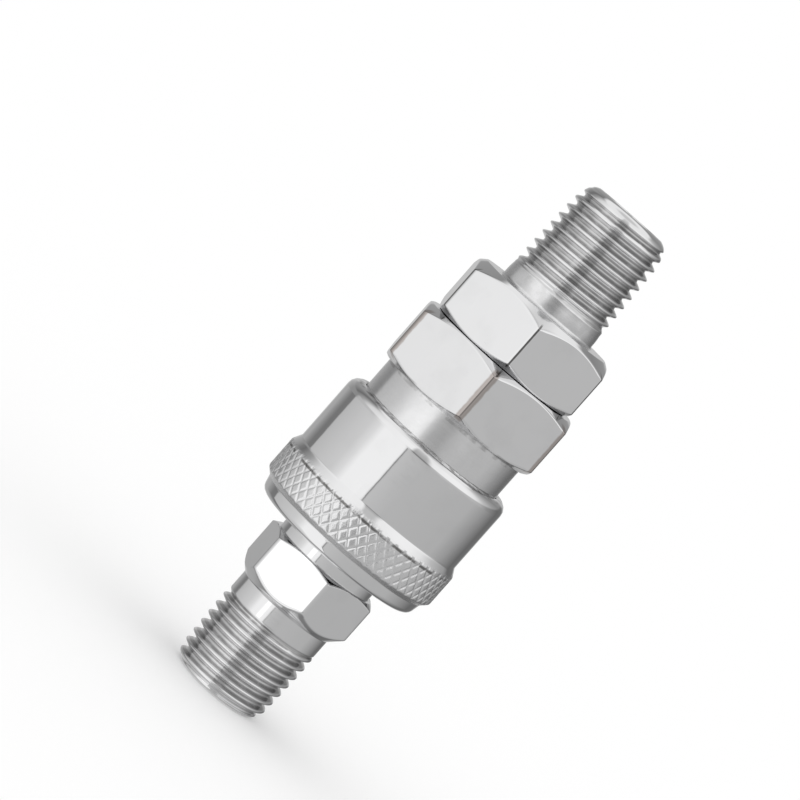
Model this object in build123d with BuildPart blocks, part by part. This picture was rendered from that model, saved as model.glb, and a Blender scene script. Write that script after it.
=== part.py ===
from build123d import *
from math import cos, radians, sin, sqrt, tan
import os

os.makedirs("parts", exist_ok=True)

# Quick coupling: a socket with a spring-loaded locking sleeve, holding its plug.
# It stands upright on the plug's threaded end, with the axis on Z and the end face at 0.
# Sizes are in millimetres; names that end in _r are radii, those that start with z_ heights.

# Taper pipe thread blanks, quarter size, at both ends
thread_end_r = 6.15
thread_taper = 1 / 32
thread_chamfer = 1.1

# Plug: thread, hexagon, collar, ball groove, sealing head and tip, from the end up
plug_thread_length = 11.1
plug_neck_length = 1.3
plug_neck_r = 6.2
plug_hex_across = 13.8
plug_hex_length = 6.6
plug_hex_turn = 10.9
plug_collar_r = 6.55
plug_shoulder = 0.45
plug_head_r = 5.55
plug_tip_r = 4.6
plug_tip_length = 2.7
plug_bore_r = 3.4

# Where the socket's parts stand along the axis, each from the one before
mouth_gap = 2.0
mouth_to_balls = 7.4
balls_to_packing = 4.45
packing_to_tip = 5.35
tip_to_seat = 2.6

# Socket body
body_front_r = 8.6
body_hex_step = 0.8
body_hex_length = 7.9
body_hex_turn = -1.6
chamber_r = 7.5
hex_chamfer_angle = 30
hex_chamfer_inset = 0.25
hex_corner_r = 0.6
edge_break = 0.3

# Locking balls
ball_r = 2.0
ball_count = 6
ball_play = 0.2
ball_fit = 0.04
ball_hole_fit = 0.06
ball_seat_angle = 60

# Locking sleeve, its stop ring and its spring
sleeve_length = 16.8
sleeve_wall = 1.7
sleeve_travel = 3.8
sleeve_end_gap = 0.2
sleeve_overhang = 0.1
sleeve_rounding = 1.1
lip_step = 0.55
lip_flare = 0.4
lip_rounding = 0.7
knurl_height = 0.6
knurl_width = 3.8
knurl_low = 2.5
knurl_shoulder = 1.2
land_below_balls = 0.3
land_above_balls = 1.3
recess_gap = 0.2
stop_lip_thickness = 0.6
stop_wire_r = 0.5
stop_ring_setback = 0.7
stop_ring_gap_angle = 24
sleeve_wire_r = 0.45
sleeve_spring_play = 0.15
sleeve_spring_length = 7.2
sleeve_spring_turns = 2.5

# Fits: sliding play on a radius, play of a ring in its groove, and play at a spring's ends
slide_fit = 0.1
ring_fit = 0.03
spring_fit = 0.02

# Packing in the bore and shut-off valve behind it
packing_width = 2.4
packing_depth = 1.75
packing_bead = 0.5
valve_bore_r = 4.0
valve_head_r = 6.2
valve_head_thickness = 1.7
valve_lift = 3.0
valve_travel = 1.2
valve_wire_r = 0.7
valve_groove_r = 4.9
valve_boss_r = 3.9
valve_boss_height = 1.2
window_r = 1.2
window_count = 4
valve_spring_r = 4.5
valve_spring_wire_r = 0.35
valve_spring_length = 6.3
valve_spring_turns = 4

# Adaptor: screwed stub, hexagon, neck and thread
stub_r = 8.0
stub_wall = 1.0
stub_length = 3.9
stub_fit = 0.05
adaptor_ring_wire_r = 0.5
adaptor_hex_across = 19.0
adaptor_hex_length = 7.6
adaptor_neck_r = 6.5
adaptor_neck_length = 1.9
adaptor_thread_length = 12.5
adaptor_bore_r = 3.75
spring_pocket_r = 5.5

# Heights of the plug
z_plug_hex = plug_thread_length + plug_neck_length
z_collar = z_plug_hex + plug_hex_length
z_mouth = z_collar + mouth_gap
z_balls = z_mouth + mouth_to_balls
z_packing = z_balls + balls_to_packing
z_tip = z_packing + packing_to_tip

# Balls: locked in the plug's groove at rest, and pushed out clear of its head when free
land_r = body_front_r + slide_fit
ball_lock_r = land_r - ball_play - ball_r
ball_free_r = plug_head_r + ball_fit + ball_r
ball_reach = ball_r + ball_fit
groove_r = ball_lock_r - ball_reach
groove_half_width = ball_reach * (sqrt(2) - 1)
mouth_r = plug_collar_r + slide_fit
head_bore_r = plug_head_r + slide_fit

# Sleeve: its lip rests on the stop ring, its land holds the balls in, its spring fits behind
z_stop_ring = z_mouth + stop_ring_setback
stop_ring_r = body_front_r + stop_wire_r / 4
z_stop_lip = z_stop_ring + stop_wire_r + ring_fit
z_recess = z_stop_lip + stop_lip_thickness
z_land = z_balls - land_below_balls
z_land_top = z_balls + land_above_balls
recess_r = ball_free_r + ball_r + recess_gap
z_sleeve = z_mouth - sleeve_overhang
z_sleeve_top = z_sleeve + sleeve_length
sleeve_bore_r = body_front_r + 2 * (sleeve_wire_r + sleeve_spring_play)
tube_r = sleeve_bore_r - slide_fit
body_hex_across = 2 * (tube_r + body_hex_step)
sleeve_r = sleeve_bore_r + sleeve_wall
sleeve_lip_r = sleeve_r - lip_step
knurl_r = sleeve_r + knurl_height
z_step = z_land_top + sleeve_spring_length
z_body_hex = z_sleeve_top + sleeve_travel + sleeve_end_gap
z_seam = z_body_hex + body_hex_length

# Valve: held off its seat by the plug's tip
z_seat = z_tip + tip_to_seat
valve_tube_r = head_bore_r - slide_fit
valve_ring_r = valve_groove_r + valve_wire_r + ring_fit
seat_contact = sqrt(2) * valve_wire_r + valve_ring_r - head_bore_r
z_valve_ring = z_seat + seat_contact + valve_lift
valve_groove_half = valve_wire_r + ring_fit
z_valve_head = z_valve_ring + valve_groove_half
z_valve_top = z_valve_head + valve_head_thickness

# Adaptor: its ledge stops the valve and its pocket holds the valve's spring
z_stub = z_seam - stub_length
z_ledge = z_valve_top + valve_travel + ring_fit
z_spring_step = z_valve_top + valve_spring_length
z_neck = z_seam + adaptor_hex_length
z_thread = z_neck + adaptor_neck_length
z_end = z_thread + adaptor_thread_length
adaptor_ring_r = stub_r + adaptor_ring_wire_r + ring_fit
ring_pocket_r = adaptor_ring_r + adaptor_ring_wire_r + ring_fit
ring_pocket_depth = 2 * (adaptor_ring_wire_r + ring_fit)


def section(*points):
    """Half section of a turned form, given as corners of (radius, height)."""
    with BuildSketch(Plane.XZ) as half:
        with BuildLine():
            Polyline(*points, close=True)
        make_face()
    return half.sketch


def wire_section(radius, height, wire_r):
    """Section of a ring's wire, eight-sided to keep the facets few."""
    with BuildSketch(Plane.XZ) as wire:
        with Locations((radius, height)):
            RegularPolygon(wire_r, 8)
    return wire.sketch


def hexagon(across, turn=0):
    """Hexagon with rounded corners, one of them towards -Y, turned by some degrees."""
    with BuildSketch() as outline:
        RegularPolygon(across / 2, 6, major_radius=False, rotation=30 + turn)
        fillet(outline.vertices(), hex_corner_r)
    return outline.sketch


def coil(radius, rise, turns, low):
    """Path of a spring's wire, up from its first turn."""
    with BuildLine() as path:
        Helix(pitch=rise / turns, height=rise, radius=radius, center=(0, 0, low))
    return path.wire()


def coil_section(path, wire_r):
    """Section of a spring's wire at the path's start, eight-sided like a ring's."""
    with BuildSketch(Plane(origin=path @ 0, z_dir=path % 0)) as wire:
        RegularPolygon(wire_r, 8)
    return wire.sketch


def hex_turning(across, low, high, low_start, low_angle, high_start):
    """Turned envelope that takes the corners off a hexagon at both of its faces."""
    corner_r = across / sqrt(3)
    low_rise = (corner_r - low_start) * tan(radians(low_angle))
    high_drop = (corner_r - high_start) * tan(radians(hex_chamfer_angle))
    return section(
        (0, low),
        (low_start, low),
        (corner_r, low + low_rise),
        (corner_r, high - high_drop),
        (high_start, high),
        (0, high),
    )


def radial_planes(radius, height, count):
    """Planes evenly round the axis that face outwards."""
    angles = [radians(360 / count * number) for number in range(count)]
    return [
        Plane(origin=(radius * cos(a), radius * sin(a), height), z_dir=(cos(a), sin(a), 0))
        for a in angles
    ]


def thread_r(length):
    """Crest radius of a thread blank at a length from its small end."""
    return thread_end_r + thread_taper * length


# Plug, turned from hexagon bar and bored through
groove_rise = plug_collar_r - groove_r
head_rise = plug_head_r - groove_r
z_collar_end = z_balls - groove_half_width - groove_rise
z_head = z_balls + groove_half_width + head_rise
z_taper = z_tip - plug_tip_length
neck_relief = thread_r(plug_thread_length) - plug_neck_r
with BuildPart() as plug:
    extrude(hexagon(plug_hex_across, plug_hex_turn).moved(Location((0, 0, z_plug_hex))), plug_hex_length)
    plug_shoulder_r = plug_collar_r + plug_shoulder
    revolve(
        hex_turning(plug_hex_across, z_plug_hex, z_collar, plug_neck_r, 45, plug_shoulder_r),
        axis=Axis.Z,
        mode=Mode.INTERSECT,
    )
    revolve(
        section(
            (0, 0),
            (thread_end_r - thread_chamfer, 0),
            (thread_r(thread_chamfer), thread_chamfer),
            (thread_r(plug_thread_length), plug_thread_length),
            (plug_neck_r, plug_thread_length + neck_relief),
            (plug_neck_r, z_plug_hex),
            (plug_collar_r, z_collar),
            (plug_collar_r, z_collar_end),
            (groove_r, z_balls - groove_half_width),
            (groove_r, z_balls + groove_half_width),
            (plug_head_r, z_head),
            (plug_head_r, z_taper),
            (plug_tip_r, z_tip),
            (0, z_tip),
        ),
        axis=Axis.Z,
    )
    Hole(plug_bore_r)
    collar_edges = plug.edges().filter_by(GeomType.CIRCLE).filter_by_position(
        Axis.Z, z_collar - slide_fit, z_collar + slide_fit
    )
    fillet(collar_edges.sort_by(SortBy.RADIUS)[0], plug_shoulder / 2)
plug.part.label = "plug"
export_step(plug.part, "parts/plug.step")

# Socket body, with tapered ball holes, the packing's groove, the valve's seat and chamber
stop_groove_r = stop_ring_r - stop_wire_r - ring_fit
stop_groove_half = stop_wire_r + ring_fit
z_mouth_cone = z_collar_end - (mouth_r - plug_collar_r) + sqrt(2) * slide_fit
packing_groove_half = packing_width / 2 + ring_fit
packing_groove_r = head_bore_r + packing_depth
z_chamber = z_seat + chamber_r - head_bore_r
z_chamber_end = z_stub - edge_break
ball_hole_r = ball_r + ball_hole_fit
seat_half_angle = radians(ball_seat_angle / 2)
seat_depth = (ball_reach / cos(seat_half_angle) - ball_hole_r) / tan(seat_half_angle)
ball_seat_r = ball_lock_r - seat_depth
ball_lip_r = ball_hole_r - (ball_seat_r - head_bore_r) * tan(seat_half_angle)
with BuildPart() as socket_body:
    extrude(hexagon(body_hex_across, body_hex_turn).moved(Location((0, 0, z_body_hex))), body_hex_length)
    body_chamfer_start = body_hex_across / 2 - hex_chamfer_inset
    revolve(
        hex_turning(
            body_hex_across, z_body_hex, z_seam, body_chamfer_start, hex_chamfer_angle, body_chamfer_start
        ),
        axis=Axis.Z,
        mode=Mode.INTERSECT,
    )
    revolve(
        section(
            (0, z_mouth),
            (body_front_r - edge_break, z_mouth),
            (body_front_r, z_mouth + edge_break / 2),
            (body_front_r, z_stop_ring - stop_groove_half),
            (stop_groove_r, z_stop_ring - stop_groove_half),
            (stop_groove_r, z_stop_ring + stop_groove_half),
            (body_front_r, z_stop_ring + stop_groove_half),
            (body_front_r, z_step),
            (tube_r, z_step),
            (tube_r, z_body_hex),
            (0, z_body_hex),
        ),
        axis=Axis.Z,
    )
    revolve(
        section(
            (0, z_mouth),
            (mouth_r + edge_break, z_mouth),
            (mouth_r, z_mouth + edge_break),
            (mouth_r, z_mouth_cone),
            (head_bore_r, z_mouth_cone + mouth_r - head_bore_r),
            (head_bore_r, z_packing - packing_groove_half),
            (packing_groove_r, z_packing - packing_groove_half),
            (packing_groove_r, z_packing + packing_groove_half),
            (head_bore_r, z_packing + packing_groove_half),
            (head_bore_r, z_seat),
            (chamber_r, z_chamber),
            (chamber_r, z_chamber_end),
            (stub_r + stub_fit, z_chamber_end),
            (stub_r + stub_fit, z_seam - ring_pocket_depth),
            (ring_pocket_r, z_seam - ring_pocket_depth),
            (ring_pocket_r, z_seam),
            (0, z_seam),
        ),
        axis=Axis.Z,
        mode=Mode.SUBTRACT,
    )
    with Locations(*radial_planes(ball_seat_r, z_balls, ball_count)):
        CounterSinkHole(ball_lip_r, ball_hole_r, depth=body_front_r / 2, counter_sink_angle=ball_seat_angle)
socket_body.part.label = "socket_body"
export_step(socket_body.part, "parts/socket_body.step")

# Balls, one in each hole
for number, plane in enumerate(radial_planes(ball_lock_r, z_balls, ball_count), start=1):
    with BuildPart() as ball:
        with Locations(plane.origin):
            Sphere(ball_r)
    ball.part.label = f"ball_{number}"
    export_step(ball.part, f"parts/ball_{number}.step")

# Sleeve: stop lip, release recess, ramp, locking land and spring bore inside a knurled grip
stop_pocket_r = stop_ring_r + stop_wire_r + slide_fit + ring_fit
z_knurl = z_sleeve + knurl_low
z_knurl_top = z_knurl + knurl_width
lip_top_r = sleeve_lip_r + lip_flare
with BuildPart() as sleeve:
    revolve(
        section(
            (stop_pocket_r, z_sleeve),
            (sleeve_lip_r, z_sleeve),
            (lip_top_r, z_knurl - knurl_r + lip_top_r),
            (knurl_r, z_knurl),
            (knurl_r, z_knurl_top),
            (sleeve_r, z_knurl_top + knurl_shoulder),
            (sleeve_r, z_sleeve_top),
            (sleeve_bore_r + edge_break, z_sleeve_top),
            (sleeve_bore_r, z_sleeve_top - edge_break),
            (sleeve_bore_r, z_land_top),
            (land_r, z_land_top),
            (land_r, z_land),
            (recess_r, z_land - recess_r + land_r),
            (recess_r, z_recess),
            (land_r, z_recess),
            (land_r, z_stop_lip),
            (stop_pocket_r, z_stop_lip),
        ),
        axis=Axis.Z,
    )
    rims = sleeve.edges().filter_by(GeomType.CIRCLE).group_by(Axis.Z)
    fillet(rims[-1].sort_by(SortBy.RADIUS)[-1], min(sleeve_rounding, 0.8 * (sleeve_wall - edge_break)))
    fillet(rims[0].sort_by(SortBy.RADIUS)[-1], min(lip_rounding, 0.8 * (sleeve_lip_r - stop_pocket_r)))
sleeve.part.label = "sleeve"
export_step(sleeve.part, "parts/sleeve.step")

# Stop ring, a snap ring of round wire with a gap
with BuildPart() as stop_ring:
    revolve(
        wire_section(stop_ring_r, z_stop_ring, stop_wire_r),
        axis=Axis.Z,
        revolution_arc=360 - stop_ring_gap_angle,
    )
stop_ring.part.label = "stop_ring"
export_step(stop_ring.part, "parts/stop_ring.step")

# Sleeve spring, between the sleeve's land and the body's step
sleeve_spring_r = (body_front_r + sleeve_bore_r) / 2
sleeve_spring_rise = sleeve_spring_length - 2 * (sleeve_wire_r + spring_fit)
sleeve_coil = coil(
    sleeve_spring_r, sleeve_spring_rise, sleeve_spring_turns, z_land_top + sleeve_wire_r + spring_fit
)
with BuildPart() as sleeve_spring:
    sweep(coil_section(sleeve_coil, sleeve_wire_r), path=sleeve_coil, is_frenet=True)
sleeve_spring.part.label = "sleeve_spring"
export_step(sleeve_spring.part, "parts/sleeve_spring.step")

# Packing in the bore, a rubber ring whose bead seals on the plug's head
packing_r = packing_groove_r - ring_fit
packing_half = packing_width / 2
packing_lip_r = plug_head_r + slide_fit / 2
with BuildPart() as plug_packing:
    revolve(
        section(
            (packing_lip_r + packing_bead, z_packing - packing_half),
            (packing_r, z_packing - packing_half),
            (packing_r, z_packing + packing_half),
            (packing_lip_r + packing_bead, z_packing + packing_half),
            (packing_lip_r, z_packing + packing_half / 3),
            (packing_lip_r, z_packing - packing_half / 3),
        ),
        axis=Axis.Z,
    )
plug_packing.part.label = "plug_packing"
export_step(plug_packing.part, "parts/plug_packing.step")

# Valve: a tube with windows that stands on the plug's tip, a ring groove, a head and a boss
z_valve_groove = z_valve_ring - valve_groove_half
z_valve_bore_end = z_valve_groove - edge_break
z_window = z_seat + window_r
with BuildPart() as valve:
    revolve(
        section(
            (valve_bore_r, z_tip),
            (valve_tube_r - edge_break, z_tip),
            (valve_tube_r, z_tip + edge_break),
            (valve_tube_r, z_valve_groove),
            (valve_groove_r, z_valve_groove),
            (valve_groove_r, z_valve_head),
            (valve_head_r, z_valve_head),
            (valve_head_r, z_valve_top - edge_break),
            (valve_head_r - edge_break, z_valve_top),
            (valve_boss_r, z_valve_top),
            (valve_boss_r, z_valve_top + valve_boss_height),
            (0, z_valve_top + valve_boss_height),
            (0, z_valve_bore_end),
            (valve_bore_r, z_valve_bore_end),
        ),
        axis=Axis.Z,
    )
    with Locations(*radial_planes(valve_tube_r, z_window, window_count)):
        Hole(window_r, depth=valve_tube_r)
valve.part.label = "valve"
export_step(valve.part, "parts/valve.step")

# Valve packing, an O-ring under the valve's head
with BuildPart() as valve_packing:
    revolve(wire_section(valve_ring_r, z_valve_ring, valve_wire_r), axis=Axis.Z)
valve_packing.part.label = "valve_packing"
export_step(valve_packing.part, "parts/valve_packing.step")

# Valve spring, between the valve's head and the adaptor's inner step
valve_spring_rise = valve_spring_length - 2 * (valve_spring_wire_r + spring_fit)
valve_coil = coil(
    valve_spring_r, valve_spring_rise, valve_spring_turns, z_valve_top + valve_spring_wire_r + spring_fit
)
with BuildPart() as valve_spring:
    sweep(coil_section(valve_coil, valve_spring_wire_r), path=valve_coil, is_frenet=True)
valve_spring.part.label = "valve_spring"
export_step(valve_spring.part, "parts/valve_spring.step")

# Adaptor, screwed into the body, with the upper hexagon and thread
with BuildPart() as adaptor:
    extrude(hexagon(adaptor_hex_across).moved(Location((0, 0, z_seam))), adaptor_hex_length)
    adaptor_chamfer_start = adaptor_hex_across / 2 - hex_chamfer_inset
    revolve(
        hex_turning(
            adaptor_hex_across, z_seam, z_neck, adaptor_chamfer_start, hex_chamfer_angle, adaptor_chamfer_start
        ),
        axis=Axis.Z,
        mode=Mode.INTERSECT,
    )
    revolve(
        section(
            (0, z_stub),
            (stub_r - edge_break, z_stub),
            (stub_r, z_stub + edge_break),
            (stub_r, z_seam),
            (adaptor_neck_r, z_neck),
            (adaptor_neck_r, z_thread),
            (thread_r(adaptor_thread_length), z_thread),
            (thread_r(thread_chamfer), z_end - thread_chamfer),
            (thread_end_r - thread_chamfer, z_end),
            (0, z_end),
        ),
        axis=Axis.Z,
    )
    revolve(
        section(
            (0, z_stub),
            (stub_r - stub_wall, z_stub),
            (stub_r - stub_wall, z_ledge),
            (spring_pocket_r, z_ledge),
            (spring_pocket_r, z_spring_step),
            (adaptor_bore_r, z_spring_step),
            (adaptor_bore_r, z_end),
            (0, z_end),
        ),
        axis=Axis.Z,
        mode=Mode.SUBTRACT,
    )
adaptor.part.label = "adaptor"
export_step(adaptor.part, "parts/adaptor.step")

# Adaptor's O-ring, in the pocket at the top of the body's thread
with BuildPart() as adaptor_o_ring:
    revolve(
        wire_section(adaptor_ring_r, z_seam - ring_pocket_depth / 2, adaptor_ring_wire_r),
        axis=Axis.Z,
    )
adaptor_o_ring.part.label = "adaptor_o_ring"
export_step(adaptor_o_ring.part, "parts/adaptor_o_ring.step")
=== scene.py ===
import math
from collections import namedtuple

import bpy
import numpy as np
from mathutils import Matrix, Vector


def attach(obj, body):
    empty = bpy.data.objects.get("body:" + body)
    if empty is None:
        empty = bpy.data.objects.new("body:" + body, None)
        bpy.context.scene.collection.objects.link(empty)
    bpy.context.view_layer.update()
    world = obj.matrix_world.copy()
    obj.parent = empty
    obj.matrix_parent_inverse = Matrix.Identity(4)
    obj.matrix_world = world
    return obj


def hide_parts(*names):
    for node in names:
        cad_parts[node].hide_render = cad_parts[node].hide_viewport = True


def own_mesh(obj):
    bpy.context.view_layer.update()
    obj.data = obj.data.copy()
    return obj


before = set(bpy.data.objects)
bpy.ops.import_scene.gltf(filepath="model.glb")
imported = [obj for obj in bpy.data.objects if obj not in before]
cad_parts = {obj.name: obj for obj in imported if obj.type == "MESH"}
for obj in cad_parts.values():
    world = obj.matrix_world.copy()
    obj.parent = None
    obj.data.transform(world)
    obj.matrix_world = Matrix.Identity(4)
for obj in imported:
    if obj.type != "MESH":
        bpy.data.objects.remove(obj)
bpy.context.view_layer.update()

# Lengths below are in millimetres, as on the part's drawing, and MM turns them into metres.
MM = 0.001

# Camera, worked out from the photograph's ellipses
PICTURE = 800
FOCAL_PIXELS = 3774
SENSOR = 36
CAMERA_DISTANCE = 427.9
CAMERA_NEAR = 10
CAMERA_RISE = 5.23
CAMERA_TURN = -3.3
AXIS_LEAN = 48.66
AXIS_OFFSET = 5.763
AIM_HEIGHT = 38.66

# Pipe threads, right-hand, with a sharper crest and a rounder root
THREAD_PITCH = 1.337
THREAD_SHARP = 1.284
THREAD_DEPTH = 0.84
THREAD_CREST = 0.18
CREST_SOFTNESS = 0.20
ROOT_SOFTNESS = 0.20
THREAD_END_R = 6.15
THREAD_TAPER = 1 / 32
THREAD_LEAD_ROUND = 0.9
THREAD_LEAD_LENGTH = 0.35
THREAD_LEAD_SLOPE = 0.3
THREAD_ROWS_PER_TURN = 26
THREAD_END_SOFTNESS = 0.25

# Plug
PLUG_THREAD = 11.1
PLUG_NECK_R = 6.2
PLUG_HEX_LOW = 12.4
PLUG_HEX_HIGH = 19.0
PLUG_HEX_ACROSS = 13.8
PLUG_HEX_TURN = 10.9
PLUG_HEX_FOOT_ANGLE = 45
PLUG_SHOULDER = 0.45
COLLAR_R = 6.55
GROOVE_R = 4.46
GROOVE_HALF = 0.845
HEAD_R = 5.55
TIP_R = 4.6
TIP_TAPER = 2.7
TIP_TOP = 38.2
PLUG_BORE_R = 3.4
PLUG_TURNS = {
    "phase": 0.52,
    "runout": (2.0, 1.0),
    "crest_r": 6.38,
    "neck_r": PLUG_NECK_R,
    "lead_r": 4.9,
}
BALL_PLANE = 28.4

# Socket body
MOUTH = 21.0
MOUTH_R = 6.65
MOUTH_CHAMFER = 0.3
MOUTH_EDGE = 0.15
MOUTH_CONE = 25.6
FRONT_R = 8.6
HEAD_BORE_R = 5.65
STOP_PLANE = 21.7
STOP_GROOVE_R = 8.195
STOP_GROOVE_HALF = 0.53
PACKING_PLANE = 32.85
PACKING_GROOVE_R = 7.4
PACKING_GROOVE_HALF = 1.23
STEP = 36.9
TUBE_R = 9.7
SEAT = 40.8
CHAMBER_R = 7.5
CHAMBER_TOP = 45.4
STUB_BORE_R = 8.05
RING_POCKET_R = 9.06
RING_POCKET_LOW = 48.54
BODY_HEX_LOW = 41.7
BODY_HEX_TURN = -1.6
SEAM = 49.6
BODY_HEX_ACROSS = 21.0
BALL_HOLE_R = 2.06
BALL_HOLE_SEAT = 5.988
BALL_HOLE_LIP_R = 1.865
BALL_COUNT = 6
CUTTER_START = 5.0
CUTTER_PAST = 0.5
CUTTER_TIP = 0.1
CUTTER_TIP_R = 0.01

# Sleeve
SLEEVE_LOW = 20.9
SLEEVE_HIGH = 37.6
SLEEVE_R = 11.5
SLEEVE_LIP_R = 10.95
LIP_TOP_R = 11.35
LIP_TOP = 22.65
LIP_ROUNDING = 0.7
SLEEVE_ROUNDING = 1.3
SLEEVE_BORE_R = 9.8
SLEEVE_BORE_EDGE = 0.14
SLEEVE_TOP_FACE = 0.2
KNURL_R = 12.1
KNURL_LOW = 23.4
KNURL_HIGH = 27.3
KNURL_SHOULDER_TOP = 28.4
KNURL_TEETH = 56
KNURL_DEPTH = 0.10
KNURL_GROOVE = 0.19
KNURL_DIAMOND = 1.9
KNURL_CURVE = 0.6
KNURL_FOOT_SOFTNESS = 0.12
KNURL_TOP_SOFTNESS = 0.04
LAND_R = 8.7
LAND_LOW = 28.1
LAND_HIGH = 29.7
RECESS_R = 9.79
RECESS_LOW = 22.83
STOP_LIP = 22.23
STOP_POCKET_R = 9.355

# Adaptor
ADAPTOR_HEX_HIGH = 57.2
ADAPTOR_HEX_ACROSS = 19.0
ADAPTOR_HEX_TURN = 0
ADAPTOR_HEX_TOP_R = 8.85
ADAPTOR_HEX_TOP_ANGLE = 36
ADAPTOR_NECK_R = 6.5
ADAPTOR_NECK_ROUNDING = 0.5
ADAPTOR_THREAD_LOW = 59.1
ADAPTOR_RELIEF_LOW = 58.2
TOP = 71.6
STUB_LOW = 45.7
STUB_R = 8.0
STUB_INNER_R = 7.0
STUB_CHAMFER = 0.3
LEDGE = 48.43
SPRING_POCKET_R = 5.5
SPRING_STEP = 53.5
ADAPTOR_BORE_R = 3.75
ADAPTOR_RELIEF_R = 6.40
ADAPTOR_TURNS = {
    "phase": 0.32,
    "runout": (1.4, 0.2),
    "crest_r": 6.45,
    "neck_r": ADAPTOR_RELIEF_R,
    "lead_r": 4.55,
}

# Springs and rings of round wire
SLEEVE_COIL_R = 9.2
SLEEVE_WIRE_R = 0.45
SLEEVE_COIL_TURNS = 2.5
VALVE_COIL_R = 4.5
VALVE_WIRE_R = 0.35
VALVE_COIL_LOW = 47.2
VALVE_COIL_TURNS = 4
SPRING_FIT = 0.02
STOP_RING_R = 8.725
STOP_WIRE_R = 0.5
STOP_RING_ARC = 336
ADAPTOR_RING_R = 8.53
ADAPTOR_RING_PLANE = 49.07
ADAPTOR_RING_WIRE_R = 0.5
VALVE_RING_R = 5.63
VALVE_RING_PLANE = 44.77
VALVE_RING_WIRE_R = 0.7
FULL_TURN = 360

# Hexagons, with a corner at HEX_CORNER_WAY degrees before their turn, and how the turned and
# milled edges are broken
HEX_SIDES = 6
HEX_SECTOR = 60
HEX_CORNER_WAY = 90
HEX_CHAMFER = 30
HEX_INSET = 0.25
HEX_CORNER_R = 0.6
HEX_EDGE = 0.16
HEX_MARGIN = 0.25
FINE_EDGE = 0.12
EDGE_SHARE = 0.4
ROUNDING_SHARE = 0.95
WIRE_END_TAPER = 90
BODY_SHARP_ANGLE = 40
SLEEVE_SHARP_ANGLE = 42

# How finely the meshes are divided; SUPPORT is a row's distance from the arc of an edge
ARC_STEPS = 4
SUPPORT = 0.04
SUPPORT_LEAST = 0.01
SUPPORT_SHARE = 0.05
CHAMFER_ROWS = 30
FLAT_ROWS = 3
CORNER_SHARES = np.array([0, 0.25, 0.5, 0.75, 1.0, 1.3])
ANGLE_DIGITS = 5
TURN_STEPS = 180
KNURL_STEPS = 16
SLEEVE_TURN_STEPS = KNURL_STEPS * KNURL_TEETH
WIRE_SIDES = 20
HOLE_SIDES = 48
SLEEVE_COIL_STEPS = 240
VALVE_COIL_STEPS = 300
STOP_RING_STEPS = 160
ADAPTOR_RING_STEPS = 144
VALVE_RING_STEPS = 120

# Where the outlines start or are split, on plain stretches, and the gap to the next row. A few
# steps of JOIN lie between other lots of rows that meet.
ADAPTOR_OUTLINE_START = LEDGE - 0.5
BODY_OUTLINE_START = MOUTH + 0.6
SLEEVE_OUTLINE_START = SLEEVE_LOW + 0.8
SLEEVE_BORE_SPLIT = LAND_HIGH + 0.5
COLLAR_SPLIT = PLUG_HEX_HIGH + 1.5
OUTLINE_GAP = 0.1
JOIN = 0.01

# Chrome plate and its marks, and the colour and patches of painted shade on it; the heights of marks are
# in metres
CHROME_COLOUR = (0.81, 0.81, 0.815)
# Colour of the painted shade in seams, creases, thread roots and along the adaptor's corners
PAINTED_SHADE_COLOUR = (0.16, 0.155, 0.15)
TARNISH_COLOUR = (0.42, 0.37, 0.345)
PLATE_ROUGHNESS = 0.03
PLATE_MARKS = 0.12
FINE_RING_SHARE = 0.35
RING_HEIGHT = 0.000003
RING_ROUGHNESS = 0.05
SMUDGE_HEIGHT = 0.000012
SMUDGE_EDGE = (0.48, 0.72)
SMUDGE_ROUGHNESS = 0.05
SMUDGE_SHADE = 0.03
DUST_EDGE = (0.70, 0.78)
DUST_SHADE = 0.10
SHADE_PATCH_EDGE = (0.4, 0.62)
ZONE_SOFTNESS = 0.15

# Painted shade on the threads. Its place on a flank is a share of a turn, from one root to the next
# with the crest half way, and in a root it is a share of the depth.
ROOT_EDGE = (0.80, 1.10)
ROOT_UNEVENNESS = 0.4
FLANK_START = (0.63, 0.71)
FLANK_END = (0.80, 0.90)
FLANK_BLOTCHES = (0.1, 0.5)
FLANK_SHADE = 0.63
THREAD_ROUGHNESS = 0.05
THREAD_SOFTNESS = 0.3

# Tarnish and painted shade along the hexagons' corners, and the knurl's grip
CORNER_TARNISH_AND_SHADE = 0.85
CORNER_UNEVENNESS = 0.5
CORNER_CORE = 0.6
CORNER_SOFTNESS = 0.4
GRIP_ROUGHNESS = 0.18
GRIP_GRAIN_HEIGHT = 0.00002
GRIP_SOFTNESS = 0.5

# Other metals and the rubber
SPRING_COLOUR = (0.55, 0.55, 0.56)
BALL_COLOUR = (0.72, 0.72, 0.74)
BRASS_COLOUR = (0.78, 0.60, 0.30)
RUBBER_COLOUR = (0.03, 0.03, 0.03)
RUBBER_ROUGHNESS = 0.45
RUBBER_UNEVENNESS = 0.2
RUBBER_GRAIN_HEIGHT = 0.00001

# What lies on the chrome between two heights, low and high, in millimetres; turn and width are in
# degrees
# A zone's and a thread's last field is how much painted shade they get
Zone = namedtuple("Zone", "low high rough marks dirt", defaults=(0, 0, 0))
Thread = namedtuple("Thread", "low high phase dirt")
Corners = namedtuple("Corners", "low high turn width colour")
Grip = namedtuple("Grip", "low high")


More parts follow.
